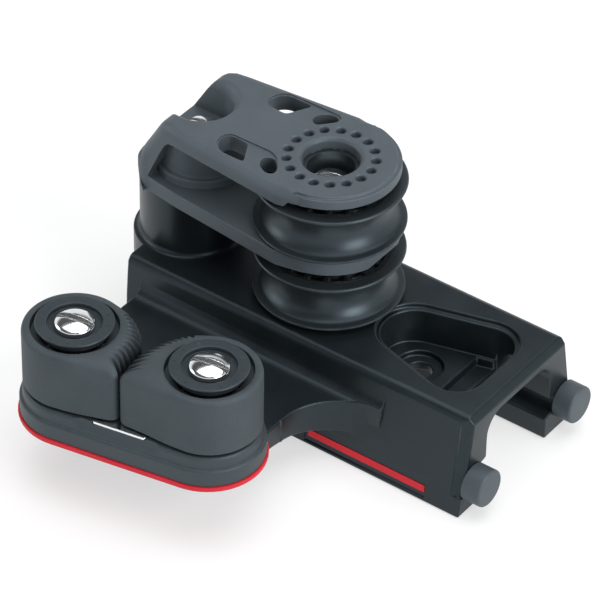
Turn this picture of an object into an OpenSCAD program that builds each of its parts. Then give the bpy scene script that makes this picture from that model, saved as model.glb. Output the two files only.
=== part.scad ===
// Track end control with a double sheave stack and a side cam cleat.
// Units are millimetres. The rail runs along X, +Z is up, and the origin is on
// the underside of the saddle, below the sheave axis.

/* [Saddle] */
// Height of the deck above the underside
deck_z = 29; // [26:0.5:32]
// Half width of the deck
deck_half = 21.3; // [19:0.1:23]
// Half width of the legs at the underside
foot_half = 26.3; // [24:0.1:28]
// Front end of the saddle
front_x = 60.7; // [55:0.1:66]
// Radius along the long deck edges
deck_edge_r = 2.6; // [1:0.1:4]
// Bevel across the front of the deck
front_bevel = 1.8; // [1:0.1:3]

/* [Channel] */
// Half width between the lower lips
lip_half = 12.8; // [12:0.1:14]
// Half width above the grooves
channel_half = 14.2; // [13.6:0.1:15]
// Half width at the bottom of the grooves
groove_half = 16.8; // [15:0.1:17]
// Ceiling of the rail channel
channel_z = 13.5; // [12:0.1:15]
// Ceiling of the open arch at the front
arch_z = 25.3; // [22:0.1:26]
// Where the open arch begins
arch_x = 44; // [42:0.5:50]

/* [Tower] */
// Distance of the tower axis behind the sheaves
tower_x = -44.5; // [-50:0.1:-40]
// Tower radius
tower_r = 14.2; // [12:0.1:16]
// Top of the tower
tower_top = 47.5; // [44:0.5:50]
// Radius of the round rear end of the saddle
rear_r = 16.2; // [14:0.1:18]
// Radius of the rear corners
rear_corner_r = 8; // [6:0.5:12]

/* [Cleat arm] */
// Height of the arm's flat top
arm_z = 20; // [18:0.5:22]
// Rear edge of the arm
arm_rear_x = -45; // [-50:0.5:-40]
// Radius of the scooped front edge of the arm
scoop_r = 16.8; // [14:0.1:20]

/* [Deck pocket] */
// Floor of the pocket
pocket_z = 17.5; // [16:0.5:20]
// Fastener hole position along the rail
hole_x = 29.5; // [26:0.1:33]
// Fastener hole radius
hole_r = 3.3; // [2.5:0.1:4]
// Counterbore radius
hole_head_r = 6.2; // [5:0.1:7]

/* [Sheaves] */
// Sheave radius
sheave_r = 20; // [18:0.5:22]
// Width of a sheave
sheave_w = 13.4; // [12:0.1:14]
// Radius at the bottom of the rope groove
groove_r = 14.9; // [14:0.1:16]
// Underside of the lower sheave
lower_z = 30.6; // [30.4:0.1:32]
// Underside of the upper sheave
upper_z = 52.5; // [52.3:0.1:54]
// Radius of the hollow axle post
post_r = 8.5; // [7:0.1:9]
// Balls in one row
ball_count = 16; // [8:1:24]

/* [Cheek] */
// Underside and top of the middle plate
mid_z0 = 47.5; // [46:0.5:49]
mid_z1 = 52.0; // [51:0.1:52.2]
// Underside and top of the top plate
top_z0 = 68.7; // [67:0.1:69.5]
top_z1 = 72; // [71:0.1:74]
// Radius of the round end
cheek_r = 18.2; // [17:0.1:19]
// Radius of the raised face
plateau_r = 17.3; // [16:0.1:18]
// Radius of the centre bore
bore_r = 7.5; // [7:0.1:8]
// Position of the cheek screw
cheek_screw_x = -41.2; // [-44:0.1:-38]

/* [Cam cleat] */
// Centre of the cleat
cleat_x = -9.8; // [-14:0.1:-6]
cleat_y = -66.1; // [-70:0.1:-62]
// Turn of the cleat about Z
cleat_turn = 10.5; // [0:0.5:20]
// Half the distance between the cleat screws
cleat_half = 19; // [18:0.1:20]
// Radius of the base ends
base_r = 15; // [14:0.1:16]
// Thickness of the gasket
gasket_t = 1.4; // [1:0.1:2]
// Top of the base
base_z = 30; // [28:0.5:32]
// Height span of the cams
cam_z0 = 30.7; // [30.5:0.1:32]
cam_z1 = 47.7; // [45:0.1:50]
// Radius of a cam's round back
cam_r = 13.6; // [12:0.1:14]

/* [Bumpers] */
// Bumper radius and how far it stands out
bumper_r = 5.2; // [4:0.1:6]
bumper_out = 5.7; // [4:0.1:8]
// Bumper position on the end face
bumper_y = 20.6; // [18:0.1:22]
bumper_z = 9; // [7:0.1:11]

/* [Hidden] */
$fn = 64;
sheave_race_r = 11.5;
washer_t = 1.2;
black = [0.10, 0.11, 0.12];
dark = [0.20, 0.21, 0.22];
steel = [0.78, 0.79, 0.80];
red = [0.75, 0.16, 0.20];

function arc(cx, cy, r, a0, a1, n) =
  [for (i = [0 : n]) [cx + r * cos(a0 + (a1 - a0) * i / n), cy + r * sin(a0 + (a1 - a0) * i / n)]];
function flip(pts) = [for (i = [len(pts) - 1 : -1 : 0]) [-pts[i][0], pts[i][1]]];
function side_y(z) = foot_half - (foot_half - deck_half) * z / deck_z;

// Runs a section drawn in Y and Z along X, from x0 to x1
module along_x(x0, x1) {
  translate([x0, 0, 0]) rotate([90, 0, 90]) linear_extrude(x1 - x0) children();
}

module ring(r0, r1, z0, z1) {
  difference() {
    translate([0, 0, z0]) cylinder(r = r1, h = z1 - z0);
    translate([0, 0, z0 - 1]) cylinder(r = r0, h = z1 - z0 + 2);
  }
}

module saddle_section() {
  edge = arc(side_y(deck_z - deck_edge_r) - deck_edge_r, deck_z - deck_edge_r, deck_edge_r, 5, 90, 6);
  polygon(concat([[-foot_half, 0], [foot_half, 0]], edge, flip(edge)));
}

module saddle_plan() {
  corner = rear_corner_r;
  half = foot_half + 1;
  polygon(concat([[front_x + 1, half], [front_x + 1, -half]],
    arc(corner - 50, corner - half, corner, 270, 180, 10),
    arc(corner - 50, half - corner, corner, 180, 90, 10)));
}

module channel_section() {
  polygon([[-lip_half, -1], [lip_half, -1], [lip_half, 6.5], [groove_half, 7.5],
    [groove_half, 12], [channel_half, 12.6], [channel_half, channel_z],
    [-channel_half, channel_z], [-channel_half, 12.6], [-groove_half, 12],
    [-groove_half, 7.5], [-lip_half, 6.5]]);
}

module arch_section() {
  crown = arc(channel_half - 6.5, arch_z - 6.5, 6.5, 0, 90, 8);
  polygon(concat([[-channel_half, 12], [channel_half, 12]], crown, flip(crown)));
}

module pocket_plan(inset) {
  polygon(concat(arc(28, 0, 10.6 - inset, 108, 252, 18),
    arc(45.2, -6.4, 9.1 - inset, 252, 360, 12), arc(45.2, 6.4, 9.1 - inset, 0, 108, 12)));
}

// The fillet meets the leaning side face without a step
module arm_section() {
  lean = atan((foot_half - deck_half) / deck_z);
  r = 4.2;
  y = -side_y(arm_z + r) - r / cos(lean) + 0.03;
  polygon(concat([[-20, 9], [-20, arm_z + r * (1 - sin(lean))]],
    arc(y, arm_z + r, r, -lean, -90, 8), [[-76, arm_z], [-76, 16.5], [-45, 13.4], [-27, 10]]));
}

module arm_plan() {
  difference() {
    union() {
      polygon([[arm_rear_x, -15], [arm_rear_x, -60], [arm_rear_x + 5, -66], [-30, -70], [8, -64],
        [15.8, -52], [15.8, -42], [34, -24], [36, -15]]);
      in_cleat() {
        for (s = [-1, 1]) translate([s * cleat_half, 0]) circle(r = 7.5);
        translate([-cleat_half, -7.5]) square([2 * cleat_half, 15]);
      }
    }
    translate([32.6, -40.5]) circle(r = scoop_r);
  }
}

// Places cleat parts drawn about the cleat's own centre
module in_cleat() {
  translate([cleat_x, cleat_y, 0]) rotate([0, 0, cleat_turn]) children();
}

module tower() {
  translate([tower_x, 0, 0]) rotate_extrude()
    polygon(concat([[0, channel_z], [rear_r - 0.3, channel_z], [rear_r - 0.3, deck_z]],
      arc(tower_r + 1.5, deck_z + 1.5, 1.5, 270, 180, 5), [[tower_r, tower_top], [0, tower_top]]));
}

module end_body() color(black) difference() {
  union() {
    intersection() {
      along_x(-62, front_x) saddle_section();
      linear_extrude(40) saddle_plan();
    }
    tower();
    intersection() {
      along_x(-60, 40) arm_section();
      linear_extrude(40) arm_plan();
    }
  }
  along_x(-70, front_x + 1) channel_section();
  along_x(arch_x, front_x + 1) arch_section();
  // deck pocket: floor, then the deeper front zone, which opens into the arch
  translate([0, 0, pocket_z]) linear_extrude(20) pocket_plan(1.4);
  translate([0, 0, deck_z - 1.2]) linear_extrude(5) pocket_plan(0);
  intersection() {
    translate([0, 0, 15]) linear_extrude(20) pocket_plan(2.4);
    translate([39.4, -20, 14]) cube([20, 40, 20]);
  }
  translate([hole_x, 0, 10]) cylinder(r = hole_r, h = 20);
  translate([hole_x, 0, 16]) cylinder(r = hole_head_r, h = 10);
  // bevel across the front of the deck, and the tall corner bevels above the feet
  translate([front_x, 0, deck_z - front_bevel]) rotate([0, -45, 0])
    translate([0, -40, -10]) cube([10, 80, 20]);
  for (s = [-1, 1]) label_place(s) translate([front_x - 3.1, 0, 5.8]) rotate([0, 0, -19.5])
    cube([10, 5, 40]);
  for (s = [-1, 1]) translate([front_x - 8, s * bumper_y, bumper_z]) rotate([0, 90, 0])
    cylinder(r = 2.8, h = 12);
  for (s = [-1, 1]) label_place(s) translate([11.6, -0.8, 1]) cube([38.1, 3, 5.7]);
  translate([0, 0, 15]) cylinder(r = 3.85, h = 20);
  translate([0, 0, 17]) cylinder(r = 5.4, h = 20);
  translate([cheek_screw_x, 0, 30]) cylinder(r = 3.05, h = 30);
  translate([cheek_screw_x, 0, 33]) cylinder(r = 4.4, h = 30);
  in_cleat() for (s = [-1, 1]) translate([s * cleat_half, 0, 5]) cylinder(r = 3.6, h = 30);
}

// Lays parts on the sloping side faces: y is out of the face and z is up it
module label_place(s) {
  lean = atan((foot_half - deck_half) / deck_z);
  translate([0, s * foot_half, 0]) rotate([s * lean, 0, 0]) mirror([0, s > 0 ? 0 : 1, 0]) children();
}

module label(s) color(dark) label_place(s) translate([11.7, -0.75, 1.1]) cube([37.9, 0.25, 5.5]);
module stripe(s) color(red) label_place(s) translate([12.6, -0.48, 2.5]) cube([36.9, 0.2, 1.9]);
module label_near() label(-1);
module label_far() label(1);
module stripe_near() stripe(-1);
module stripe_far() stripe(1);

module axle_post() color(dark) difference() {
  translate([0, 0, deck_z]) cylinder(r = post_r, h = top_z0 - deck_z);
  translate([0, 0, deck_z - 1]) cylinder(r = 3.85, h = 50);
  translate([0, 0, 62.8]) cylinder(r = 6.4, h = 20);
}

module slotted_screw(r, head_r, z0, z_seat, z_top, slot_w) {
  difference() {
    union() {
      translate([0, 0, z0]) cylinder(r = r, h = z_seat - z0 + 1);
      rotate_extrude() polygon([[0, z_seat], [head_r, z_seat], [head_r, z_seat + 0.9],
        [head_r * 0.92, z_top - 0.7], [head_r * 0.72, z_top - 0.2], [0, z_top]]);
    }
    translate([-20, -slot_w / 2, z_top - 1.4]) cube([40, slot_w, 5]);
  }
}

module axle_screw() color(steel) rotate([0, 0, 20]) slotted_screw(3.8, 5.3, 17.2, 62.8, 66.2, 1.6);
module axle_insert() color(steel) ring(3.85, 5.35, 17.1, deck_z);

module race_washers() color(dark) {
  ring(post_r + 0.02, 11.3, deck_z, deck_z + washer_t);
  ring(post_r + 0.02, 11.3, mid_z0 - washer_t, mid_z0);
  ring(post_r + 0.02, 11.3, mid_z1, mid_z1 + washer_t);
  ring(post_r + 0.02, 11.3, top_z0 - washer_t, top_z0);
}
module lower_race() color(steel)
  ring(post_r + 0.02, sheave_race_r, deck_z + washer_t, mid_z0 - washer_t);
module upper_race() color(steel)
  ring(post_r + 0.02, sheave_race_r, mid_z1 + washer_t, top_z0 - washer_t);

module sheave(z0) color(dark) {
  w = sheave_w;
  gr = 6.9;
  half = asin((w / 2 - 0.9) / gr);
  translate([0, 0, z0]) rotate_extrude()
    polygon(concat([[12, 3.2], [14.9, 3.2], [14.9, 0.9], [16.2, 0.9], [16.8, 0], [sheave_r - 0.3, 0],
      [sheave_r, 0.3], [sheave_r, 0.8]],
      arc(groove_r + gr, w / 2, gr, 180 + half, 180 - half, 14),
      [[sheave_r, w - 0.8], [sheave_r, w - 0.3], [sheave_r - 0.3, w], [16.8, w], [16.2, w - 0.9],
      [14.9, w - 0.9], [14.9, w - 3.2], [12, w - 3.2]]));
}
module lower_sheave() sheave(lower_z);
module upper_sheave() sheave(upper_z);

module ball_rows(z0) color(dark) for (h = [2.0, sheave_w - 2.0], i = [0 : ball_count - 1])
  rotate([0, 0, (i + 0.5) * 360 / ball_count]) translate([13.6, 0, z0 + h]) sphere(r = 1.15, $fn = 24);
module lower_balls() ball_rows(lower_z);
module upper_balls() ball_rows(upper_z);

module cheek_plan(r, half_rear, half_front) {
  circle(r = r);
  polygon([[-1, -half_front], [-1, half_front], [-38, half_rear], [-50, half_rear - 1.5],
    [-50, 1.5 - half_rear], [-38, -half_rear]]);
  for (s = [-1, 1]) translate([-49, s * (half_rear - 6.5)]) circle(r = 5);
  translate([-54, 6.5 - half_rear]) square([10, 2 * half_rear - 13]);
}

// Side view of the cheek in X and Z, with the sheave gap cut out
module cheek_side() {
  difference() {
    cheek_outside();
    polygon([[21, mid_z1], [-48.4, mid_z1], [-41, 67], [-1, 67], [-0.4, top_z0], [21, top_z0]]);
  }
}

// Side windows in the top plate: a shallow pocket holding two openings and a web between them
module top_slots(s) {
  translate([0, 0, top_z1 - 0.5]) linear_extrude(5) polygon([[-27.6, s * 11], [-27.2, s * 8.9],
    [-26, s * 7.6], [-14, s * 7.4], [-11, s * 8.6], [-7.6, s * 12.4], [-7.1, s * 13.8],
    [-7.9, s * 15.2], [-10.5, s * 15.6], [-24.2, s * 15.3], [-26.4, s * 13.8]]);
  translate([0, 0, 60]) linear_extrude(20) {
    polygon([[-27.2, s * 11], [-26.8, s * 9], [-25.8, s * 7.9], [-20.4, s * 8.1],
      [-16.9, s * 14.8], [-24, s * 14.9], [-26.1, s * 13.5]]);
    polygon([[-13.4, s * 10.3], [-12.2, s * 9.3], [-10.8, s * 9.2], [-8.4, s * 11.6],
      [-7.8, s * 13.8], [-8.8, s * 14.8], [-10.4, s * 14.9], [-12.8, s * 13.3]]);
  }
}

module cheek_outside() {
  polygon([[20, mid_z0], [-51.5, mid_z0], [-52.6, 49], [-52.6, 55], [-51.5, 59], [-45.2, 69.4],
    [-43.6, 71.2], [-41.2, top_z1], [20, top_z1]]);
}

module cheek() color(dark) difference() {
  union() {
    intersection() {
      translate([0, 40, 0]) rotate([90, 0, 0]) linear_extrude(80) cheek_side();
      linear_extrude(90) cheek_plan(cheek_r, 16.8, 19.9);
    }
    intersection() {
      translate([0, 40, 0]) rotate([90, 0, 0]) linear_extrude(80) cheek_outside();
      union() {
        translate([cheek_screw_x, 0, mid_z1 - 1]) cylinder(r = 11.5, h = 17);
        translate([cheek_screw_x, 0, mid_z1 - 1]) cylinder(r = 12.6, h = 3.4);
      }
    }
  }
  // lower ledge round the raised face
  translate([0, 0, top_z1 - 1]) difference() {
    translate([-1, -30, 0]) cube([40, 60, 5]);
    translate([0, 0, -1]) cylinder(r = plateau_r, h = 10);
  }
  translate([17, -30, 40]) cube([10, 60, 20]);
  translate([0, 0, 40]) cylinder(r = post_r + 0.02, h = 20);
  translate([0, 0, 60]) cylinder(r = bore_r, h = 30);
  translate([0, 0, 60]) cylinder(r = 12.4, h = top_z0 - 60);
  translate([0, 0, top_z1 - 0.9]) cylinder(r1 = bore_r, r2 = bore_r + 1, h = 1);
  for (i = [0 : 16]) rotate([0, 0, i * 360 / 17 + 8]) translate([11.5, 0, top_z1 - 1.8])
    cylinder(r = 1.3, h = 5);
  for (s = [-1, 1]) top_slots(s);
  translate([cheek_screw_x, 0, 40]) cylinder(r = 3.05, h = 40);
  translate([cheek_screw_x, 0, 60.7]) cylinder(r = 8.1, h = 40);
  translate([-60, -8.1, 60.7]) cube([60 + cheek_screw_x, 16.2, 20]);
}

module cheek_screw() color(steel) translate([cheek_screw_x, 0, 0])
  slotted_screw(3, 4.7, 33.2, 61.5, 64.4, 1.3);
module cheek_washer() color(steel) translate([cheek_screw_x, 0, 0]) ring(3.05, 6.2, 60.7, 61.5);
module cheek_insert() color(steel) translate([cheek_screw_x, 0, 0])
  ring(3.02, 4.38, 33.2, tower_top);

module bumper(s) color(black) translate([0, s * bumper_y, bumper_z]) rotate([0, 90, 0])
  rotate_extrude() polygon([[0, front_x - 7.5], [2.75, front_x - 7.5], [2.75, front_x],
    [bumper_r, front_x], [bumper_r, front_x + bumper_out - 0.4],
    [bumper_r - 0.4, front_x + bumper_out], [0, front_x + bumper_out]]);
module bumper_near() bumper(-1);
module bumper_far() bumper(1);

module capsule(r, z0, z1) {
  half = cleat_half - 0.5;
  for (s = [-1, 1]) translate([s * half, 0, z0]) cylinder(r = r, h = z1 - z0);
  translate([-half, -r, z0]) cube([2 * half, 2 * r, z1 - z0]);
}

module cleat_gasket() color(red) in_cleat() difference() {
  capsule(base_r + 0.45, arm_z, arm_z + gasket_t);
  for (s = [-1, 1]) translate([s * cleat_half, 0, 0]) cylinder(r = 2.6, h = 60);
}

module cleat_base() color(black) in_cleat() difference() {
  union() {
    capsule(base_r, arm_z + gasket_t, arm_z + 6);
    capsule(base_r - 0.8, arm_z + 6, base_z);
  }
  for (s = [-1, 1]) translate([s * cleat_half, 0, 0]) cylinder(r = 2.6, h = 60);
  translate([-7.6, -13.1, base_z - 0.5]) cube([15.2, 26.2, 5]);
  for (s = [-1, 1]) translate([0, s * 22, base_z + 2]) rotate([0, 90, 0])
    translate([0, 0, -9.5]) cylinder(r = 9.2, h = 19);
}

module wear_strip() color(steel) in_cleat()
  translate([-7.5, -13, base_z - 0.5]) cube([15, 26, 0.75]);

// Outline of a cam about its own pivot: a round back and a nose that grows to the front.
// The right nose passes a little over the centre line and the left one stops short of it.
function flat_x(s) = s > 0 ? -20.05 : -17.45;
function reach(s, a) = 14.6 + (s > 0 ? 4.8 : 4.05) * pow((a - 128) / 52, 1.15);
function crest(s, a) = [max(reach(s, a) * cos(a), flat_x(s)), reach(s, a) * sin(a)];
function valley(s, a) = crest(s, a) * (1 - 1.3 / norm(crest(s, a)));
nose_start = [[2, 0], [-4.6, 12.4]];
function nose_end(s) = [[flat_x(s) + 0.3, -10.1], [flat_x(s) + 1.3, -11.4], [-3, -13.1]];
function plain_nose(s) = concat(nose_start, [for (i = [0 : 11]) crest(s, 132 + 6.4 * i)], nose_end(s));
function toothed_nose(s) = concat(nose_start, [for (i = [0 : 11], half = [0, 1])
  half == 0 ? crest(s, 132 + 6.4 * i) : valley(s, 135.2 + 6.4 * i)], nose_end(s));

module cam(s) color(dark) in_cleat() translate([s * cleat_half, 0, 0]) mirror([s > 0 ? 0 : 1, 0, 0])
  difference() {
    union() {
      translate([0, 0, cam_z0]) cylinder(r = cam_r, h = cam_z1 - cam_z0 - 1.2);
      translate([0, 0, cam_z1 - 1.7]) cylinder(r = cam_r - 0.9, h = 1.7);
      translate([0, 0, cam_z0]) linear_extrude(2.5) polygon(plain_nose(s));
      // teeth: upright grooves across the nose
      translate([0, 0, cam_z0 + 1]) linear_extrude(cam_z1 - cam_z0 - 2.2) polygon(toothed_nose(s));
    }
    translate([0, 0, cam_z0 - 1]) cylinder(r = 8.85, h = 30);
    translate([0, 0, cam_z0 - 1]) cylinder(r = 10.6, h = 6);
    translate([0, 0, cam_z1 - 2.4]) cylinder(r = 11.45, h = 10);
  }
module cam_left() cam(-1);
module cam_right() cam(1);

module at_cams() in_cleat() for (s = [-1, 1]) translate([s * cleat_half, 0, 0]) children();

module cam_posts() color(steel) at_cams() ring(2.45, 6, base_z, 46.6);
module cam_balls(s) color(steel) in_cleat() translate([s * cleat_half, 0, 0])
  for (z = [38.5, 43], i = [0 : 11]) rotate([0, 0, i * 30]) translate([7.6, 0, z])
    sphere(r = 1.15, $fn = 24);
module cam_balls_left() cam_balls(-1);
module cam_balls_right() cam_balls(1);
module cam_springs() color(steel) at_cams() for (i = [0 : 3]) translate([0, 0, 31 + 0.9 * i])
  rotate_extrude() translate([9.3, 0]) circle(r = 0.5, $fn = 24);
module cam_caps() color(dark) at_cams() difference() {
  ring(2.45, 10.2, 46.6, 49);
  translate([0, 0, 47.6]) cylinder(r = 7.1, h = 5);
}
module cleat_screws() color(steel) at_cams() slotted_screw(2.4, 5.3, 16.6, 47.6, 50.2, 1.7);
module arm_inserts() color(steel) at_cams() ring(2.45, 3.55, 16.7, arm_z);

end_body();
axle_post();
axle_screw();
axle_insert();
race_washers();
lower_race();
upper_race();
lower_sheave();
upper_sheave();
lower_balls();
upper_balls();
cheek();
cheek_screw();
cheek_washer();
cheek_insert();
bumper_near();
bumper_far();
label_near();
label_far();
stripe_near();
stripe_far();
cleat_gasket();
cleat_base();
wear_strip();
cam_left();
cam_right();
cam_posts();
cam_balls_left();
cam_balls_right();
cam_springs();
cam_caps();
cleat_screws();
arm_inserts();
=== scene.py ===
# Track end control: two stacked sheaves on a slotted end body, with a cam cleat on its side arm.
# Sizes are in millimetres and become metres where a piece is made.
import math

import bpy
from mathutils import Matrix, Vector


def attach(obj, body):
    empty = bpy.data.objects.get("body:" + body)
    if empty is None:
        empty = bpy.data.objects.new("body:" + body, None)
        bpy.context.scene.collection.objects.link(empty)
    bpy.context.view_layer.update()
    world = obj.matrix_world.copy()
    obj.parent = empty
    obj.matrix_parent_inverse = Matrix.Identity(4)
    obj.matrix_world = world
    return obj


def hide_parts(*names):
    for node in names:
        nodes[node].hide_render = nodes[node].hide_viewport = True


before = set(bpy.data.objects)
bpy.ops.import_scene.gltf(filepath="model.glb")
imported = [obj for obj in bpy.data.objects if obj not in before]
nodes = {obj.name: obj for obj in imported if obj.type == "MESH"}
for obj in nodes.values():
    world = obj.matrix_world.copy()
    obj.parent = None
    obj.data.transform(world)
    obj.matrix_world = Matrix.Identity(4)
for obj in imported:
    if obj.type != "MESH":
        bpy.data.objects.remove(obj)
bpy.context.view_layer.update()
mm = 0.001
print("frame loaded:", len(nodes), "nodes")


# Objects and edit mode

def deselectAll():
    if bpy.context.mode != "OBJECT":
        bpy.ops.object.mode_set(mode="OBJECT")
    bpy.ops.object.select_all(action="DESELECT")


def choose(piece):
    deselectAll()
    piece.select_set(True)
    bpy.context.view_layer.objects.active = piece


def freeze(piece):
    choose(piece)
    bpy.ops.object.transform_apply(location=True, rotation=True, scale=True)
    return piece


def editAll(piece):
    choose(piece)
    bpy.ops.object.mode_set(mode="EDIT")
    bpy.ops.mesh.select_mode(type="VERT")
    bpy.ops.mesh.select_all(action="SELECT")


def objectMode():
    bpy.ops.object.mode_set(mode="OBJECT")


def place(piece, x=0, y=0, z=0, turn=(0, 0, 0)):
    piece.rotation_euler = [math.radians(a) for a in turn]
    piece.location = (x * mm, y * mm, z * mm)
    return freeze(piece)


def arc(x, y, radius, start, end, steps):
    angles = [math.radians(start + (end - start) * i / steps) for i in range(steps + 1)]
    return [(x + radius * math.cos(a), y + radius * math.sin(a)) for a in angles]


# Rounds the corners of an outline, each by at most this much
def rounded(points, size, steps=4):
    result = []
    for index, point in enumerate(points):
        p = Vector(point)
        before, after = Vector(points[index - 1]), Vector(points[(index + 1) % len(points)])
        start = p + (before - p).normalized() * min(size, 0.45 * (before - p).length)
        end = p + (after - p).normalized() * min(size, 0.45 * (after - p).length)
        for step in range(steps + 1):
            t = step / steps
            result.append(tuple(start * (1 - t) ** 2 + p * 2 * t * (1 - t) + end * t ** 2))
    return result


def mirrored(points):
    return [(x, -y) for x, y in reversed(points)]


# A profile of (radius, height) points, drawn from one vertex and spun about Z
def spun(name, profile, steps=96):
    deselectAll()
    bpy.ops.mesh.primitive_plane_add(size=mm)
    piece = bpy.context.object
    piece.name = name
    editAll(piece)
    bpy.ops.mesh.merge(type="CENTER")
    bpy.ops.transform.translate(value=(profile[0][0] * mm, 0, profile[0][1] * mm))
    for before, after in zip(profile, profile[1:] + profile[:1]):
        move = ((after[0] - before[0]) * mm, 0, (after[1] - before[1]) * mm)
        bpy.ops.mesh.extrude_region_move(TRANSFORM_OT_translate={"value": move})
    bpy.ops.mesh.select_all(action="SELECT")
    bpy.ops.mesh.remove_doubles(threshold=0.0005 * mm)
    bpy.ops.mesh.spin(steps=steps, angle=2 * math.pi, center=(0, 0, 0), axis=(0, 0, 1))
    bpy.ops.mesh.select_all(action="SELECT")
    bpy.ops.mesh.remove_doubles(threshold=0.0005 * mm)
    bpy.ops.mesh.delete_loose()
    bpy.ops.mesh.select_all(action="SELECT")
    bpy.ops.mesh.normals_make_consistent(inside=False)
    objectMode()
    return piece


# A flat outline filled and extruded up from one height to another
def plate(name, outline, low, high):
    deselectAll()
    bpy.ops.mesh.primitive_circle_add(vertices=len(outline), radius=mm, fill_type="NGON")
    piece = bpy.context.object
    piece.name = name
    for vertex, point in zip(piece.data.vertices, outline):
        vertex.co = (point[0] * mm, point[1] * mm, low * mm)
    editAll(piece)
    bpy.ops.mesh.extrude_region_move(TRANSFORM_OT_translate={"value": (0, 0, (high - low) * mm)})
    bpy.ops.mesh.select_all(action="SELECT")
    bpy.ops.mesh.normals_make_consistent(inside=False)
    objectMode()
    return piece


# Rings of equal point count joined one to the next, and the last to the first when looped
def ringStack(name, rings, looped):
    deselectAll()
    count = len(rings[0])
    bpy.ops.mesh.primitive_circle_add(vertices=count, radius=mm, fill_type="NOTHING")
    piece = bpy.context.object
    piece.name = name
    editAll(piece)
    bpy.ops.mesh.select_mode(type="EDGE")
    for ring in rings[1:]:
        bpy.ops.mesh.extrude_region_move(TRANSFORM_OT_translate={"value": (0, 0, mm)})
    objectMode()
    points = [point for ring in rings for point in ring]
    for vertex, point in zip(piece.data.vertices, points):
        vertex.co = [c * mm for c in point]
    editAll(piece)
    if looped:
        bpy.ops.mesh.select_all(action="DESELECT")
        bpy.ops.mesh.select_non_manifold(extend=False)
        bpy.ops.mesh.bridge_edge_loops()
    else:
        bpy.ops.mesh.select_all(action="DESELECT")
        bpy.ops.mesh.select_non_manifold(extend=False)
        bpy.ops.mesh.edge_face_add()
    bpy.ops.mesh.select_all(action="SELECT")
    bpy.ops.mesh.normals_make_consistent(inside=False)
    objectMode()
    return piece


def joined(name, parts):
    choose(parts[0])
    for part in parts:
        part.select_set(True)
    bpy.ops.object.join()
    bpy.context.object.name = name
    return bpy.context.object


def combine(piece, tool, operation):
    choose(piece)
    change = piece.modifiers.new("combine", "BOOLEAN")
    change.operation = operation
    change.solver = "EXACT"
    change.object = tool
    bpy.ops.object.modifier_apply(modifier=change.name)
    bpy.data.objects.remove(tool)
    return piece


def bevelled(piece, width, segments, angle):
    choose(piece)
    change = piece.modifiers.new("edges", "BEVEL")
    change.width = width * mm
    change.segments = segments
    change.limit_method = "ANGLE"
    change.angle_limit = math.radians(angle)
    change.use_clamp_overlap = False
    bpy.ops.object.modifier_apply(modifier=change.name)
    return piece


# Bevels only the sharp edges whose middle passes the test
def bevelWhere(piece, width, segments, angle, test):
    editAll(piece)
    bpy.ops.mesh.select_mode(type="EDGE")
    bpy.ops.mesh.select_all(action="DESELECT")
    bpy.ops.mesh.edges_select_sharp(sharpness=math.radians(angle))
    objectMode()
    mesh = piece.data
    for edge in mesh.edges:
        if edge.select:
            middle = sum((mesh.vertices[v].co for v in edge.vertices), Vector()) / (2 * mm)
            edge.select = test(middle)
    bpy.ops.object.mode_set(mode="EDIT")
    bpy.ops.mesh.bevel(offset=width * mm, segments=segments, affect="EDGES", clamp_overlap=False)
    objectMode()
    return piece


def smoothed(piece, angle=36):
    choose(piece)
    bpy.ops.object.shade_smooth_by_angle(angle=math.radians(angle))
    change = piece.modifiers.new("normals", "WEIGHTED_NORMAL")
    change.keep_sharp = True
    change.weight = 80
    bpy.ops.object.modifier_apply(modifier=change.name)
    return piece


def finish(piece, body, slotName, material, *replaced):
    piece.data.materials.clear()
    piece.data.materials.append(material)
    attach(piece, body)
    if replaced:
        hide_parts(*replaced)


# Shader nodes

def addNode(tree, kind, sockets=None, **settings):
    node = tree.nodes.new(kind)
    for key, value in settings.items():
        setattr(node, key, value)
    for key, value in (sockets or {}).items():
        if isinstance(value, bpy.types.NodeSocket):
            tree.links.new(value, node.inputs[key])
        else:
            node.inputs[key].default_value = value
    return node


def mathNode(tree, operation, a, b=0.0, clamp=False):
    return addNode(tree, "ShaderNodeMath", {0: a, 1: b}, operation=operation,
                   use_clamp=clamp).outputs[0]


def newGroup(name, inputs, outputs):
    tree = bpy.data.node_groups.new(name, "ShaderNodeTree")
    for label, start in inputs.items():
        socket = tree.interface.new_socket(name=label, in_out="INPUT", socket_type="NodeSocketFloat")
        socket.default_value = start
    for label in outputs:
        tree.interface.new_socket(name=label, in_out="OUTPUT", socket_type="NodeSocketFloat")
    return tree, addNode(tree, "NodeGroupInput"), addNode(tree, "NodeGroupOutput")


def useGroup(tree, group, values):
    node = addNode(tree, "ShaderNodeGroup", node_tree=group)
    for key, value in values.items():
        node.inputs[key].default_value = value
    return node


# Fine pebble of a moulded or blasted skin
def buildGrain():
    tree, given, out = newGroup("surfaceGrain", {"Scale": 2500, "Patch": 120}, ["Height", "Tint"])
    where = addNode(tree, "ShaderNodeTexCoord").outputs["Object"]
    fine = addNode(tree, "ShaderNodeTexNoise", {"Vector": where, "Scale": given.outputs["Scale"],
                                                "Detail": 3, "Roughness": 0.6})
    patch = addNode(tree, "ShaderNodeTexNoise", {"Vector": where, "Scale": given.outputs["Patch"],
                                                 "Detail": 4, "Roughness": 0.55})
    wide = addNode(tree, "ShaderNodeMapRange", {0: patch.outputs[0], 1: 0.3, 2: 0.7})
    speck = addNode(tree, "ShaderNodeMapRange", {0: fine.outputs[0], 1: 0.25, 2: 0.75})
    mixed = mathNode(tree, "ADD", mathNode(tree, "MULTIPLY", wide.outputs[0], 0.55),
                     mathNode(tree, "MULTIPLY", speck.outputs[0], 0.45), True)
    tree.links.new(fine.outputs[0], out.inputs["Height"])
    tree.links.new(mixed, out.inputs["Tint"])
    return tree


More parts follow.
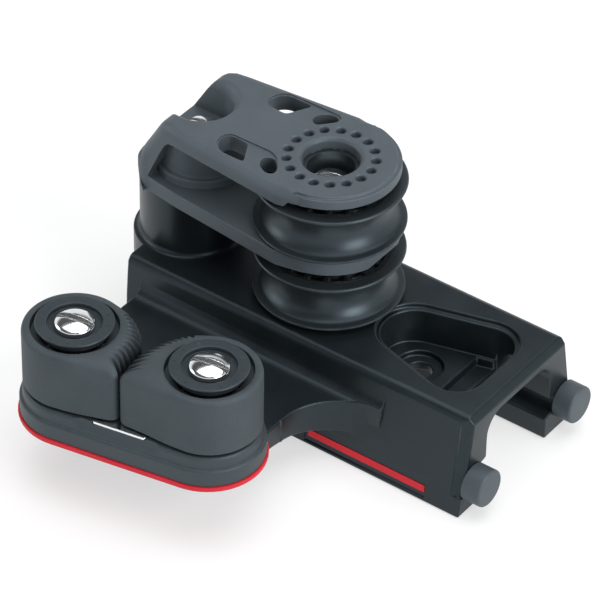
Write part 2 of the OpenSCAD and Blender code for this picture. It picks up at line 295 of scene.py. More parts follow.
# Lines left by a cutter: rings about the sheave axle, or straight passes across X, Y or Z
def buildToolLines():
    tree, given, out = newGroup("toolLines", {"Rings": 1, "AlongX": 0, "AlongY": 0, "AlongZ": 1,
                                              "Spacing": 0.0004}, ["Height", "Tint"])
    where = addNode(tree, "ShaderNodeTexCoord").outputs["Object"]
    split = addNode(tree, "ShaderNodeSeparateXYZ", {0: where})
    across, along = split.outputs[0], split.outputs[1]
    far = mathNode(tree, "SQRT", mathNode(tree, "ADD", mathNode(tree, "MULTIPLY", across, across),
                                          mathNode(tree, "MULTIPLY", along, along)))
    total = mathNode(tree, "MULTIPLY", far, given.outputs["Rings"])
    for index, label in enumerate(["AlongX", "AlongY", "AlongZ"]):
        share = mathNode(tree, "MULTIPLY", split.outputs[index], given.outputs[label])
        total = mathNode(tree, "ADD", total, share)
    steps = mathNode(tree, "DIVIDE", total, given.outputs["Spacing"])
    fine = addNode(tree, "ShaderNodeTexNoise", {"W": steps, "Scale": 1, "Detail": 2},
                   noise_dimensions="1D")
    broad = addNode(tree, "ShaderNodeTexNoise", {"W": steps, "Scale": 0.18, "Detail": 1},
                    noise_dimensions="1D")
    mixed = mathNode(tree, "ADD", mathNode(tree, "MULTIPLY", fine.outputs[0], 0.6),
                     mathNode(tree, "MULTIPLY", broad.outputs[0], 0.4))
    spread = addNode(tree, "ShaderNodeMapRange", {0: mixed, 1: 0.3, 2: 0.7})
    tree.links.new(mixed, out.inputs["Height"])
    tree.links.new(spread.outputs[0], out.inputs["Tint"])
    return tree


# Lighter edges, partly real rubbed wear and partly a painted highlight along the edges, broken up so
# that the line isn't even
def buildEdgeWearAndHighlight():
    tree, given, out = newGroup("edgeWearAndHighlight", {"Radius": 0.0004, "Amount": 0.5}, ["Mask"])
    where = addNode(tree, "ShaderNodeTexCoord").outputs["Object"]
    roundNormal = addNode(tree, "ShaderNodeBevel", {"Radius": given.outputs["Radius"]}, samples=4)
    trueNormal = addNode(tree, "ShaderNodeNewGeometry").outputs["Normal"]
    same = addNode(tree, "ShaderNodeVectorMath", {0: roundNormal.outputs[0], 1: trueNormal},
                   operation="DOT_PRODUCT").outputs["Value"]
    bend = mathNode(tree, "MULTIPLY", mathNode(tree, "SUBTRACT", 1.0, same), 9.0, True)
    blotch = addNode(tree, "ShaderNodeTexNoise", {"Vector": where, "Scale": 420, "Detail": 4})
    broken = addNode(tree, "ShaderNodeMapRange", {0: blotch.outputs[0], 1: 0.35, 2: 0.65})
    mask = mathNode(tree, "MULTIPLY", mathNode(tree, "MULTIPLY", bend, broken.outputs[0]),
                    given.outputs["Amount"], True)
    tree.links.new(mask, out.inputs["Mask"])
    return tree


# Soft handling marks that vary the gloss
def buildHandling():
    tree, given, out = newGroup("handlingMarks", {"Scale": 60, "Low": 0.3, "High": 0.5}, ["Roughness"])
    where = addNode(tree, "ShaderNodeTexCoord").outputs["Object"]
    cloud = addNode(tree, "ShaderNodeTexNoise", {"Vector": where, "Scale": given.outputs["Scale"],
                                                 "Detail": 5, "Roughness": 0.6})
    spread = addNode(tree, "ShaderNodeMapRange", {0: cloud.outputs[0], 1: 0.3, 2: 0.7,
                                                  3: given.outputs["Low"], 4: given.outputs["High"]})
    tree.links.new(spread.outputs[0], out.inputs["Roughness"])
    return tree


surfaceGrain = buildGrain()
toolLines = buildToolLines()
edgeWearAndHighlight = buildEdgeWearAndHighlight()
handlingMarks = buildHandling()


# One finish from its settings; whatever isn't given keeps these values
# The edge colour is lighter than the face: partly rubbed wear, partly a painted highlight along the
# edges
plainFinish = {
    "dark": (0.016, 0.018, 0.020), "light": (0.026, 0.029, 0.032), "edge": (0.09, 0.10, 0.11),
    "metallic": 0.0, "ior": 1.5, "specular": 0.5, "sheen": (0.72, 0.90, 1.0),
    "low": 0.34, "high": 0.46, "marks": 60, "grain": 2500, "patch": 120, "grainDepth": 0.010,
    "lines": None, "lineDepth": 0.0, "lineTint": 0.0, "wear": 0.5, "wearRadius": 0.4,
}


def newFinish(name, **changes):
    s = {**plainFinish, **changes}
    material = bpy.data.materials.new(name)
    material.use_nodes = True
    tree = material.node_tree
    shader = tree.nodes["Principled BSDF"]
    for socket, key in [("Metallic", "metallic"), ("IOR", "ior"), ("Specular IOR Level", "specular")]:
        shader.inputs[socket].default_value = s[key]
    shader.inputs["Specular Tint"].default_value = (*s["sheen"], 1)
    grain = useGroup(tree, surfaceGrain, {"Scale": s["grain"], "Patch": s["patch"]})
    wear = useGroup(tree, edgeWearAndHighlight, {"Radius": s["wearRadius"] * mm, "Amount": s["wear"]})
    marks = useGroup(tree, handlingMarks, {"Scale": s["marks"], "Low": s["low"], "High": s["high"]})
    tint = grain.outputs["Tint"]
    height = mathNode(tree, "MULTIPLY", grain.outputs["Height"], s["grainDepth"])
    if s["lines"]:
        lines = useGroup(tree, toolLines, s["lines"])
        share = mathNode(tree, "MULTIPLY", lines.outputs["Tint"], s["lineTint"])
        tint = mathNode(tree, "ADD", mathNode(tree, "MULTIPLY", tint, 1 - s["lineTint"]), share)
        height = mathNode(tree, "ADD", height,
                          mathNode(tree, "MULTIPLY", lines.outputs["Height"], s["lineDepth"]))
    base = addNode(tree, "ShaderNodeMix", {"Factor": tint}, data_type="RGBA")
    base.inputs[6].default_value = (*s["dark"], 1)
    base.inputs[7].default_value = (*s["light"], 1)
    # Edges take the edge colour, partly rubbed wear and partly a painted highlight
    wornAndHighlit = addNode(tree, "ShaderNodeMix", {"Factor": wear.outputs["Mask"]}, data_type="RGBA")
    tree.links.new(base.outputs[2], wornAndHighlit.inputs[6])
    wornAndHighlit.inputs[7].default_value = (*s["edge"], 1)
    bump = addNode(tree, "ShaderNodeBump", {"Height": height, "Distance": mm, "Strength": 1.0})
    tree.links.new(wornAndHighlit.outputs[2], shader.inputs["Base Color"])
    tree.links.new(marks.outputs["Roughness"], shader.inputs["Roughness"])
    tree.links.new(bump.outputs["Normal"], shader.inputs["Normal"])
    return material


turned = {"Spacing": 0.4 * mm}
acrossY = {"Rings": 0, "AlongY": 1, "AlongZ": 1, "Spacing": 0.5 * mm}
# The body's light edge colour is partly rubbed wear and partly a painted highlight along its machined
# edges
bodyBlack = newFinish("bodyBlack", dark=(0.0050, 0.0075, 0.0090), light=(0.010, 0.0135, 0.0155),
                      edge=(0.075, 0.088, 0.097), specular=0.42, low=0.28, high=0.40, lines=acrossY,
                      lineDepth=0.006, lineTint=0.35, wear=0.4, grainDepth=0.022, grain=2100)
cheekBlack = newFinish("cheekBlack", dark=(0.050, 0.060, 0.068), light=(0.066, 0.079, 0.089),
                       edge=(0.16, 0.18, 0.20), low=0.46, high=0.58, grainDepth=0.02, grain=1800)
sheaveBlack = newFinish("sheaveBlack", dark=(0.010, 0.013, 0.015), light=(0.022, 0.027, 0.031),
                        edge=(0.10, 0.115, 0.125), low=0.30, high=0.40, lines=turned,
                        lineDepth=0.01, lineTint=0.5)
camBlack = newFinish("camBlack", dark=(0.028, 0.034, 0.038), light=(0.046, 0.055, 0.061),
                     edge=(0.14, 0.16, 0.175), low=0.58, high=0.7, grain=1700, grainDepth=0.05,
                     wear=0.4)
baseBlack = newFinish("baseBlack", dark=(0.025, 0.031, 0.035), light=(0.034, 0.041, 0.046),
                      edge=(0.10, 0.12, 0.13), low=0.40, high=0.52, grainDepth=0.015)
capBlack = newFinish("capBlack", dark=(0.014, 0.018, 0.021), light=(0.022, 0.027, 0.031),
                     low=0.42, high=0.55, grainDepth=0.012)
bumperBlack = newFinish("bumperBlack", dark=(0.042, 0.051, 0.058), light=(0.056, 0.067, 0.075),
                        edge=(0.15, 0.17, 0.18), low=0.45, high=0.6, grainDepth=0.02)
# Near black and dull: a painted shade that makes the balls and race washers read as the dark gap between
# the sheaves and the plates
ballPaintedShade = newFinish("ballPaintedShade", dark=(0.004, 0.005, 0.006), light=(0.008, 0.009, 0.010),
                      edge=(0.01, 0.01, 0.01), low=0.5, high=0.6, specular=0.2)
labelBlack = newFinish("labelBlack", dark=(0.004, 0.005, 0.006), light=(0.007, 0.008, 0.010),
                       edge=(0.02, 0.02, 0.02), low=0.25, high=0.36, grainDepth=0.006, wear=0.2)
stripeRed = newFinish("stripeRed", dark=(0.52, 0.010, 0.020), light=(0.62, 0.016, 0.028),
                      edge=(0.5, 0.05, 0.05), sheen=(1, 1, 1), specular=0.25, low=0.36, high=0.46,
                      grainDepth=0.006, wear=0.2)
gasketRed = newFinish("gasketRed", dark=(0.46, 0.010, 0.020), light=(0.58, 0.018, 0.032),
                      edge=(0.55, 0.06, 0.07), sheen=(1, 1, 1), specular=0.25, low=0.40, high=0.55,
                      grainDepth=0.012, wear=0.3)
polished = newFinish("polishedSteel", sheen=(1, 1, 1), dark=(0.78, 0.79, 0.79), light=(0.90, 0.91, 0.91),
                     edge=(0.8, 0.8, 0.8), metallic=1.0, low=0.12, high=0.18,
                     lines={"Rings": 0, "AlongX": 1, "AlongY": 0.6, "AlongZ": 0.4,
                            "Spacing": 0.15 * mm}, lineDepth=0.0003, lineTint=0.3,
                     grainDepth=0.0003, wear=0.2)
steelPlain = newFinish("steelPlain", sheen=(1, 1, 1), dark=(0.45, 0.45, 0.44), light=(0.60, 0.60, 0.59),
                       edge=(0.75, 0.75, 0.74), metallic=1.0, low=0.25, high=0.38,
                       grainDepth=0.004, wear=0.3)
print("finishes made")

# End body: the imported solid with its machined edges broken
bodySettings = {"edge": 0.42, "segments": 3, "sharp": 24, "boreRadius": 3.4, "bumperY": 20.6,
                "bumperZ": 9}


def softened(nodeName, name, settings, test):
    piece = bpy.data.objects.new(name, nodes[nodeName].data.copy())
    bpy.context.scene.collection.objects.link(piece)
    editAll(piece)
    bpy.ops.mesh.customdata_custom_splitnormals_clear()
    bpy.ops.mesh.remove_doubles(threshold=0.002 * mm)
    bpy.ops.mesh.dissolve_degenerate(threshold=0.01 * mm)
    bpy.ops.mesh.tris_convert_to_quads(face_threshold=math.radians(1),
                                       shape_threshold=math.radians(60))
    return smoothed(bevelWhere(piece, settings["edge"], settings["segments"], settings["sharp"], test))


def bodyBevels(p):
    nearBore = math.hypot(abs(p.y) - bodySettings["bumperY"], p.z - bodySettings["bumperZ"])
    return p.x < 40 or nearBore > bodySettings["boreRadius"]


endBody = softened("end_body", "endBody", bodySettings, bodyBevels)
finish(endBody, "saddle", "anodised_black", bodyBlack, "end_body")
print("end body made")

# Sheaves: a thin rounded lip, a deep rope groove and stepped side faces
sheaveSettings = {"radius": 20, "width": 13.4, "grooveCentre": 21.8, "grooveArc": 6.9,
                  "lip": 0.9, "lowerZ": 30.6, "upperZ": 52.5}


def sheaveProfile(s):
    reach = math.degrees(math.asin((s["width"] / 2 - s["lip"]) / s["grooveArc"]))
    rim = s["radius"]
    side = [(12.0, 3.2), (14.5, 3.2), (14.8, 3.0), (14.9, 2.7), (14.9, 1.1), (15.1, 0.9),
            (16.1, 0.9), (16.4, 0.75), (16.7, 0.15), (17.0, 0.0)]
    side += [(rim - 0.55, 0.0), (rim - 0.25, 0.08), (rim - 0.06, 0.28), (rim, 0.5),
             (rim - 0.1, 0.74), (rim - 0.4, 0.86), (rim - 1.5, s["lip"])]
    groove = arc(s["grooveCentre"], s["width"] / 2, s["grooveArc"], 180 + reach, 180 - reach, 22)
    other = [(r, s["width"] - z) for r, z in reversed(side)]
    return side + groove + other


for label, height in [("lower", sheaveSettings["lowerZ"]), ("upper", sheaveSettings["upperZ"])]:
    sheave = spun(label + "Sheave", sheaveProfile(sheaveSettings), 128)
    place(sheave, z=height)
    finish(smoothed(sheave, 40), label + "_sheave_set", "acetal_black", sheaveBlack,
           label + "_sheave")
print("sheaves made")

# Cheek: a middle plate and a top plate folded round the tower, with windows and drilled holes
cheekSettings = {"low": 47.5, "gapLow": 52.0, "railLow": 67.0, "gapHigh": 68.7, "top": 72.0,
                 "edge": 0.3, "sideRound": 2.9, "screwX": -41.2, "tip": 17.0, "nose": 18.2,
                 "ledgeX": 1.5, "ledge": 71.4, "holes": 17, "holeCircle": 11.5, "holeTurn": 8,
                 "bore": 7.5, "postBore": 8.52, "clearance": 12.4, "screwBore": 3.05,
                 "seat": 60.7, "seatRadius": 8.1, "bossRadius": 11.5, "bossFoot": 12.6}


def cheekPlan(s):
    half = [(-1.9, 19.0), (-4.4, 19.4), (-38, 16.2)] + arc(-49, 9.7, 5, 80, 180, 8)
    return arc(0, 0, s["nose"], -82, 82, 40) + half + mirrored(half)


def sidePlate(name, outline):
    return place(plate(name, outline, -30, 30), turn=(90, 0, 0))


def cheekSide(name, s):
    return sidePlate(name, [(20, s["low"]), (-51.5, s["low"]), (-52.6, 49), (-52.6, 55), (-51.5, 59),
                            (-45.2, 69.4), (-44.4, 70.5), (-43.2, 71.4), (s["screwX"], s["top"]),
                            (20, s["top"])])


# The block of the cheek with its rounded top sides, opened for the sheaves
def cheekBlock(s):
    block = combine(plate("cheekPlate", cheekPlan(s), s["low"], s["top"]), cheekSide("side", s),
                    "INTERSECT")
    bevelWhere(block, s["sideRound"], 5, 30, lambda p: p.z > 58.5 and p.x < 2.6)
    gap = [(21, s["gapLow"]), (-47.4, s["gapLow"]), (-48.2, 52.3), (-48.0, 53.0), (-42.6, 63.9),
           (-41.7, 65.6), (-40.6, 66.6), (-39, s["railLow"]), (-1, s["railLow"]),
           (-0.4, s["gapHigh"]), (21, s["gapHigh"])]
    return combine(block, sidePlate("gap", gap), "DIFFERENCE")


# The round boss between the plates, which takes the cheek screw
def cheekBoss(s):
    low, high = s["gapLow"] - 0.5, s["gapHigh"] - 0.2
    foot, radius = s["bossFoot"], s["bossRadius"]
    boss = spun("boss", [(0, low), (foot, low), (foot, low + 2.3), (foot - 0.25, low + 2.75),
                         (foot - 0.85, low + 2.95), (radius, low + 3.3), (radius, high),
                         (0, high)], 72)
    return combine(place(boss, x=s["screwX"]), cheekSide("side", s), "INTERSECT")


# A block past the tip of the middle plate, then the ledge round the raised nose
def cheekNoseCutters(s):
    tip = plate("tip", [(s["tip"], -30), (30, -30), (30, 30), (s["tip"], 30)], 40, 60)
    ledge = plate("ledge", [(s["ledgeX"], -30), (30, -30), (30, 30), (s["ledgeX"], 30)],
                  s["ledge"], 75)
    face = spun("face", [(0, 70), (17.1, 70), (17.1, 71.7), (16.7, 76), (0, 76)], 128)
    return [tip, combine(ledge, face, "DIFFERENCE")]


# The screw seat is round in front and open at the rear
def seatRing(s, radius, z):
    front = arc(s["screwX"], 0, radius, -90, 90, 32)
    return [(x, y, z) for x, y in front + [(-64, radius), (-64, -radius)]]


def cheekBores(s):
    bore, seat, top = s["bore"], s["seatRadius"], s["top"]
    seatShape = [(seat, s["seat"] + 0.02), (seat, 68.4), (seat + 0.2, 69.8), (seat + 0.8, 71.0),
                 (seat + 1.8, 71.8), (seat + 2.8, 72.15), (seat + 3.1, 72.6)]
    return [
        spun("bore", [(0, 60), (bore, 60), (bore, top - 1.1), (bore + 0.25, top - 0.6),
                      (bore + 0.8, top - 0.15), (bore + 1.4, top + 0.3), (0, top + 0.3)]),
        spun("under", [(0, 60), (s["clearance"], 60), (s["clearance"], s["gapHigh"]),
                       (0, s["gapHigh"])]),
        spun("post", [(0, 40), (s["postBore"], 40), (s["postBore"], 60), (0, 60)]),
        ringStack("seat", [seatRing(s, r, z) for r, z in seatShape], False),
        place(spun("shank", [(0, 40), (s["screwBore"], 40), (s["screwBore"], 62), (0, 62)], 40),
              x=s["screwX"]),
    ]


# A shallow pocket on each side, with two openings through its floor
def cheekWindows(s):
    pocket = [(-27.6, 11.4), (-27.3, 8.9), (-26, 7.6), (-13.6, 7.4), (-11, 8.4), (-7.4, 12.6),
              (-7.1, 14.2), (-8.3, 15.5), (-24.6, 15.3), (-26.6, 13.8)]
    rear = [(-27.2, 11.2), (-26.9, 9.0), (-25.7, 7.9), (-20.4, 8.0), (-16.8, 14.9), (-24.1, 14.9),
            (-26.2, 13.5)]
    front = [(-14.0, 10.6), (-12.5, 9.2), (-10.8, 9.1), (-8.2, 11.9), (-7.6, 14.0), (-9.0, 15.0),
             (-10.8, 14.8), (-13.2, 13.2)]
    cutters = []
    for side in (1, -1):
        for outline, low in [(pocket, s["top"] - 0.5), (rear, 60), (front, 60)]:
            points = rounded(outline, 1.3)
            cutters.append(plate("window", points if side > 0 else mirrored(points), low, 75))
    return cutters


def cheekHoles(s):
    holes = []
    for i in range(s["holes"]):
        angle = 360 * i / s["holes"] + s["holeTurn"]
        spot = arc(0, 0, s["holeCircle"], angle, angle, 1)[0]
        hole = spun("hole", [(0, 70.1), (1.2, 70.1), (1.25, 71.7), (1.45, 71.95), (1.6, 72.2),
                             (0, 72.2)], 20)
        holes.append(place(hole, spot[0], spot[1]))
    return joined("holes", holes)


# The thin webs of the windows keep their crisp edges, as do the shoulders and the rear
def cheekBevels(p):
    shoulder = -7 < p.x < 5 and abs(p.y) > 15.5
    window = -28.4 < p.x < -6.4 and 6.9 < abs(p.y) < 16.1 and p.z > 66.5
    return not (shoulder or p.x < -45.5 or window)


def makeCheek(s):
    cheek = combine(cheekBlock(s), cheekBoss(s), "UNION")
    for cutters in [cheekNoseCutters, cheekBores, cheekWindows]:
        for cutter in cutters(s):
            combine(cheek, cutter, "DIFFERENCE")
    combine(cheek, cheekHoles(s), "DIFFERENCE")
    return bevelWhere(cheek, s["edge"], 2, 34, cheekBevels)


finish(smoothed(makeCheek(cheekSettings), 38), "saddle", "anodised_dark", cheekBlack, "cheek")
print("cheek made")

# Screws with a domed, slotted head
screwSettings = {
    "cleat": {"shank": 2.4, "head": 5.3, "low": 16.6, "seat": 47.6, "top": 50.2, "slot": 1.9,
              "deep": 1.7},
    "axle": {"shank": 3.8, "head": 5.3, "low": 17.2, "seat": 62.8, "top": 66.2, "slot": 1.6,
             "deep": 1.4},
    "cheek": {"shank": 3.0, "head": 4.7, "low": 33.2, "seat": 61.5, "top": 64.4, "slot": 1.3,
              "deep": 1.2},
}


def slottedScrew(name, s):
    head, seat, top = s["head"], s["seat"], s["top"]
    rise = top - seat - 0.9
    dome = [(head * math.cos(a), seat + 0.9 + rise * math.sin(a))
            for a in [math.radians(d) for d in range(8, 90, 9)]]
    profile = [(0, s["low"]), (s["shank"] - 0.4, s["low"]), (s["shank"], s["low"] + 0.4),
               (s["shank"], seat), (head - 0.25, seat), (head, seat + 0.25), (head, seat + 0.8)]
    screw = spun(name, profile + dome + [(0, top)], 72)
    half = s["slot"] / 2
    cutter = plate("cutter", [(-9, -half), (9, -half), (9, half), (-9, half)],
                   top - s["deep"], top + 3)
    combine(screw, cutter, "DIFFERENCE")
    return bevelled(screw, 0.07, 2, 50)


cleatPlace = {"x": -9.8, "y": -66.1, "turn": 10.5, "half": 19}


def inCleat(piece, side=0):
    turn = math.radians(cleatPlace["turn"])
    x = cleatPlace["x"] + side * cleatPlace["half"] * math.cos(turn)
    y = cleatPlace["y"] + side * cleatPlace["half"] * math.sin(turn)
    return place(piece, x, y, 0, (0, 0, cleatPlace["turn"]))


pair = [inCleat(slottedScrew("cleatScrew" + str(s), screwSettings["cleat"]), s) for s in (-1, 1)]
finish(smoothed(joined("cleatScrews", pair)), "saddle", "steel", polished, "cleat_screws")
axleScrew = place(slottedScrew("axleScrew", screwSettings["axle"]), turn=(0, 0, 20))
finish(smoothed(axleScrew), "saddle", "steel", polished, "axle_screw")
cheekScrew = slottedScrew("cheekScrew", screwSettings["cheek"])
place(cheekScrew, x=cheekSettings["screwX"])
finish(smoothed(cheekScrew), "saddle", "steel", polished, "cheek_screw")
print("screws made")

# Cams: a round back, a toothed nose, and a top that rolls down to the nose
camSettings = {"low": 30.7, "top": 47.7, "back": 13.6, "neck": 12.5, "backDrop": 1.5,
               "noseDrop": 3.6, "noseStart": 14.6, "tooth": 1.9, "pitch": 6.4, "teeth": 12,
               "left": {"flat": -17.45, "growth": 4.05}, "right": {"flat": -20.05, "growth": 4.8}}


# The nose reaches further out towards its flat front
def camPoint(angle, label):
    nose = camSettings[label]
    reach = camSettings["noseStart"] + nose["growth"] * max(0.0, (angle - 128) / 52) ** 1.15
    a = math.radians(angle)
    return Vector((max(reach * math.cos(a), nose["flat"]), reach * math.sin(a)))


# Each tooth has a long face and a short steep one, as one crest and two root points
def camOutline(label, toothed):
    flat = camSettings[label]["flat"]
    outline = [Vector(p) for p in arc(0, 0, camSettings["back"], -97, 112, 44)]
    outline += [Vector(arc(0, 0, r, a, a, 1)[0]) for r, a in [(13.8, 117), (14.2, 124), (14.6, 129)]]
    for i in range(camSettings["teeth"]):
        crest, near, far = [camPoint(132 + camSettings["pitch"] * (i + part), label)
                            for part in (0, 0.18, 0.42)]
        if toothed:
            near *= 1 - camSettings["tooth"] / near.length
            far *= 1 - 0.75 * camSettings["tooth"] / far.length
        outline += [crest, near, far]
    outline += [Vector(p) for p in [(flat + 0.05, -9.6), (flat + 0.25, -10.4), (flat + 0.8, -11.0),
                                    (flat + 1.7, -11.5), (-12.6, -12.1), (-8.0, -12.9), (-4.6, -13.35)]]
    return outline


def camRings(s, label):
    def level(points, z):
        return [(p.x, p.y, z) for p in points]

    plain, toothed = camOutline(label, False), camOutline(label, True)
    drop = [s["backDrop"] + (s["noseDrop"] - s["backDrop"]) *
            min(1.0, max(0.0, (p.length - s["back"]) / 4.5)) for p in plain]
    stack = [level([p * (1 - 0.35 / p.length) for p in plain], s["low"]),
             level(plain, s["low"] + 0.35), level(plain, s["low"] + 1.9),
             level(toothed, s["low"] + 2.5), level(toothed, s["low"] + 7.5)]
    for step in range(9):
        a = math.radians(step * 11.25)
        ring = []
        for p, fall in zip(toothed, drop):
            inner = p.normalized() * s["neck"]
            spot = p.lerp(inner, 1 - math.cos(a))
            ring.append((spot.x, spot.y, s["top"] - fall * (1 - math.sin(a))))
        stack.append(ring)
    recess = [(11.7, 47.7), (11.45, 47.6), (11.35, 47.35), (11.35, 45.4), (8.85, 45.4),
              (8.85, 35.7), (10.6, 35.7), (10.6, 30.7)]
    stack += [level([p.normalized() * radius for p in plain], z) for radius, z in recess]
    return stack


for label, side in [("left", -1), ("right", 1)]:
    cam = ringStack(label + "Cam", camRings(camSettings, label), True)
    if side < 0:
        cam.scale = (-1, 1, 1)
        freeze(cam)
        editAll(cam)
        bpy.ops.mesh.normals_make_consistent(inside=False)
        objectMode()
    inCleat(cam, side)
    finish(smoothed(cam, 32), label + "_cam_set", "moulded_black", camBlack, "cam_" + label)
print("cams made")

# Caps over the cams, each with a ring of short raised ticks
capSettings = {"ticks": 12, "tickRadius": 8.7}


def cap(name):
    body = spun(name, [(2.45, 46.6), (9.1, 46.6), (9.1, 48.2), (9.9, 48.35), (10.15, 48.5),
                       (10.2, 48.75), (10.05, 48.95), (9.8, 49.0), (7.45, 49.0), (7.2, 48.9),
                       (7.1, 48.65), (7.1, 47.75), (6.95, 47.6), (2.45, 47.6)], 96)
    ticks = []
    for i in range(capSettings["ticks"]):
        tick = plate("tick", [(-0.18, -0.55), (0.18, -0.55), (0.22, 0), (0.18, 0.55),
                              (-0.18, 0.55), (-0.22, 0)], 48.9, 49.09)
        angle = 360 * (i + 0.5) / capSettings["ticks"]
        spot = arc(0, 0, capSettings["tickRadius"], angle, angle, 1)[0]
        ticks.append(place(tick, spot[0], spot[1], 0, (0, 0, angle - 90)))
    return joined(name, [body] + ticks)


pair = [inCleat(cap("cap" + str(s)), s) for s in (-1, 1)]
finish(smoothed(joined("camCaps", pair)), "saddle", "moulded_black", capBlack, "cam_caps")


# Base with a rope scoop on each side and a flat seat for the wear strip
baseSettings = {"low": 21.4, "step": 26.35, "top": 30.0, "shoulder": 15.0, "wall": 14.2,
                "scoopRadius": 9.2, "scoopAside": 21.9, "scoopHeight": 32, "seat": 29.5}
gasketSettings = {"low": 20.0, "high": 21.4, "radius": 15.45}
stripSettings = {"half": 7.5, "halfLength": 13, "corner": 0.4, "low": 29.5, "high": 30.25,
                 "edge": 0.14}


# The outline of the base: two half rounds about the ends of a straight line
def capsuleRing(radius, z):
    half = cleatPlace["half"] - 0.5
    right = arc(half, 0, radius, -90, 90, 28)
    left = arc(-half, 0, radius, 90, 270, 28)
    return [(x, y, z) for x, y in right + left]


def cleatBase(s):
    low, step, top, shoulder, wall = s["low"], s["step"], s["top"], s["shoulder"], s["wall"]
    profile = [(shoulder - 0.4, low), (shoulder - 0.1, low + 0.1), (shoulder, low + 0.4),
               (shoulder, step - 0.65), (shoulder - 0.07, step - 0.35),
               (shoulder - 0.25, step - 0.15), (wall + 0.15, step), (wall + 0.05, step + 0.25),
               (wall, top - 1.1), (wall - 0.12, top - 0.6), (wall - 0.4, top - 0.2),
               (wall - 0.9, top)]
    base = ringStack("cleatBase", [capsuleRing(r, z) for r, z in profile], False)
    deep = s["scoopRadius"]
    scoop = spun("scoop", [(0, -13.6), (deep - 2.7, -13.6), (deep - 1, -12.6), (deep, -10.4),
                           (deep, 10.4), (deep - 1, 12.6), (deep - 2.7, 13.6), (0, 13.6)], 64)
    scoopFar = scoop.copy()
    scoopFar.data = scoop.data.copy()
    bpy.context.scene.collection.objects.link(scoopFar)
    for cutter, side in [(scoop, -1), (scoopFar, 1)]:
        place(cutter, 0, side * s["scoopAside"], s["scoopHeight"], (0, 90, 0))
        combine(base, cutter, "DIFFERENCE")
    seat = plate("seat", [(-7.6, -14), (7.6, -14), (7.6, 14), (-7.6, 14)], s["seat"], 33)
    return combine(base, seat, "DIFFERENCE")


def cleatGasket(s):
    low, high, radius = s["low"], s["high"], s["radius"]
    profile = [(radius - 0.35, low), (radius - 0.1, low + 0.12), (radius, low + 0.4),
               (radius, high - 0.4), (radius - 0.1, high - 0.12), (radius - 0.35, high)]
    return ringStack("cleatGasket", [capsuleRing(r, z) for r, z in profile], False)


def wearStrip(s):
    x, y, corner = s["half"], s["halfLength"], s["corner"]
    outline = [(-x, corner - y), (corner - x, -y), (x - corner, -y), (x, corner - y),
               (x, y - corner), (x - corner, y), (corner - x, y), (-x, y - corner)]
    return bevelled(plate("wearStrip", outline, s["low"], s["high"]), s["edge"], 3, 30)


finish(smoothed(inCleat(cleatBase(baseSettings))), "saddle", "moulded_black", baseBlack,
       "cleat_base")
finish(smoothed(inCleat(cleatGasket(gasketSettings))), "saddle", "red_pad", gasketRed,
       "cleat_gasket")
finish(smoothed(inCleat(wearStrip(stripSettings))), "saddle", "steel", polished, "wear_strip")
print("cleat made")

# Bumpers pushed into the end faces
bumperSettings = {"radius": 5.2, "length": 5.7, "plug": 2.75, "plugLength": 7.5,
                  "x": 60.7, "aside": bodySettings["bumperY"], "z": bodySettings["bumperZ"]}


def bumperProfile(s):
    radius, length, plug, start = s["radius"], s["length"], s["plug"], -s["plugLength"]
    return [(0, start), (plug - 0.25, start), (plug, start + 0.3), (plug, 0), (radius - 0.3, 0),
            (radius, 0.3), (radius, length - 0.7), (radius - 0.08, length - 0.35),
            (radius - 0.35, length - 0.08), (radius - 0.7, length), (0, length)]


for label, side in [("near", -1), ("far", 1)]:
    bumper = spun("bumper" + label.capitalize(), bumperProfile(bumperSettings), 72)
    place(bumper, bumperSettings["x"], side * bumperSettings["aside"], bumperSettings["z"],
          (0, 90, 0))
    finish(smoothed(bumper), "saddle", "rubber_black", bumperBlack, "bumper_" + label)
print("bumpers made")

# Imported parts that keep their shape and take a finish
carried = {
    # The balls and race washers take the painted shade finish
    "axle_post": sheaveBlack, "axle_insert": steelPlain, "race_washers": ballPaintedShade,
    "lower_race": steelPlain, "upper_race": steelPlain, "lower_balls": ballPaintedShade,
    "upper_balls": ballPaintedShade, "cheek_washer": polished,
    "cheek_insert": steelPlain, "label_near": labelBlack, "label_far": labelBlack,
    "stripe_near": stripeRed, "stripe_far": stripeRed, "cam_posts": capBlack,
    "cam_balls_left": steelPlain, "cam_balls_right": steelPlain, "cam_springs": steelPlain,
    "arm_inserts": steelPlain,
}
for nodeName, material in carried.items():
    node = nodes[nodeName]
    node.data.materials.clear()
    node.data.materials.append(material)

# Floor, light and camera
floorSettings = {"size": 6, "drop": 0.0002, "grey": 0.45, "glow": 0.50, "roughness": 0.9,
                 "specular": 0.1}


def makeFloor(s):
    deselectAll()
    bpy.ops.mesh.primitive_plane_add(size=s["size"], location=(0, 0, -s["drop"]))
    floor = bpy.context.object
    floor.name = "floor"
    paleFloor = bpy.data.materials.new("paleFloor")
    paleFloor.use_nodes = True
    shader = paleFloor.node_tree.nodes["Principled BSDF"]
    shader.inputs["Base Color"].default_value = (s["grey"], s["grey"], s["grey"], 1)
    shader.inputs["Emission Color"].default_value = (1, 1, 1, 1)
    shader.inputs["Emission Strength"].default_value = s["glow"]
    shader.inputs["Roughness"].default_value = s["roughness"]
    shader.inputs["Specular IOR Level"].default_value = s["specular"]
    floor.data.materials.append(paleFloor)


# Softboxes that point at the object
lamps = {
    "top": {"at": (0.05, 0.12, 1.15), "size": 1.3, "power": 13},
    "right": {"at": (1.0, -0.15, 0.6), "size": 0.6, "power": 9},
    "left": {"at": (-0.95, -0.5, 0.5), "size": 0.45, "power": 2.4},
}


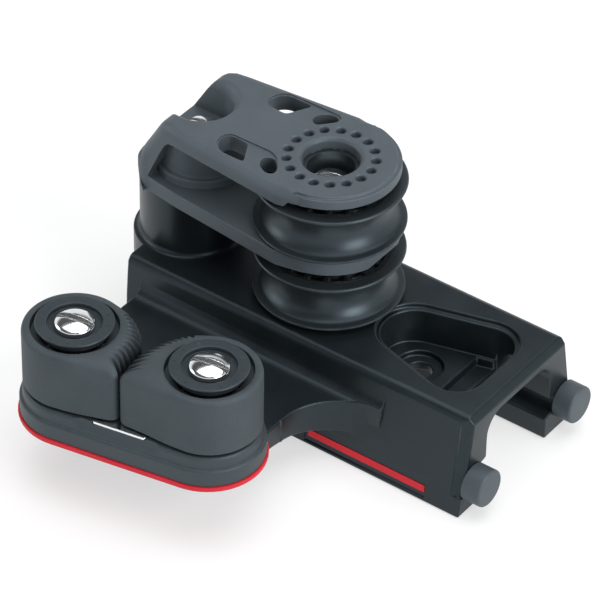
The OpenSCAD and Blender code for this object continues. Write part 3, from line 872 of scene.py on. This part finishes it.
def addLamp(name, s):
    data = bpy.data.lights.new(name, "AREA")
    data.size = s["size"]
    data.energy = s["power"]
    lamp = bpy.data.objects.new(name, data)
    bpy.context.scene.collection.objects.link(lamp)
    lamp.location = s["at"]
    lamp.rotation_euler = (-Vector(s["at"])).to_track_quat("-Z", "Y").to_euler()


# A room that is pale low down and dark above, as pairs of height and level
skySteps = [(0.0, 1.0), (0.45, 0.9), (0.56, 0.07), (0.78, 0.07), (1.0, 0.35)]


def makeWorld():
    world = bpy.data.worlds.new("studio")
    world.use_nodes = True
    sky = world.node_tree
    direction = addNode(sky, "ShaderNodeTexCoord").outputs["Generated"]
    upward = addNode(sky, "ShaderNodeSeparateXYZ", {0: direction})
    fade = addNode(sky, "ShaderNodeValToRGB", {0: upward.outputs["Z"]})
    while len(fade.color_ramp.elements) < len(skySteps):
        fade.color_ramp.elements.new(0.5)
    for element, (height, level) in zip(fade.color_ramp.elements, skySteps):
        element.position = height
        element.color = (0.95 * level, 0.97 * level, level, 1)
    sky.links.new(fade.outputs[0], sky.nodes["Background"].inputs["Color"])
    bpy.context.scene.world = world


cameraSettings = {"azimuth": 36.08, "elevation": 39.10, "roll": 0.84, "lens": 273.9,
                  "distance": 1186, "target": (-2.95, -8.6, 29)}


def makeCamera(s):
    azimuth, elevation = math.radians(s["azimuth"]), math.radians(s["elevation"])
    back = Vector((math.sin(azimuth) * math.cos(elevation),
                   -math.cos(azimuth) * math.cos(elevation), math.sin(elevation)))
    data = bpy.data.cameras.new("camera")
    data.lens = s["lens"]
    data.sensor_width = 36
    data.clip_end = 20
    camera = bpy.data.objects.new("camera", data)
    bpy.context.scene.collection.objects.link(camera)
    camera.location = (Vector(s["target"]) + back * s["distance"]) * mm
    facing = back.to_track_quat("Z", "Y").to_matrix()
    camera.rotation_euler = (facing @ Matrix.Rotation(math.radians(s["roll"]), 3, "Z")).to_euler()
    bpy.context.scene.camera = camera


makeFloor(floorSettings)
for name, settings in lamps.items():
    addLamp(name, settings)
makeWorld()
makeCamera(cameraSettings)
bpy.context.scene.view_settings.view_transform = "Standard"
print("stage made")
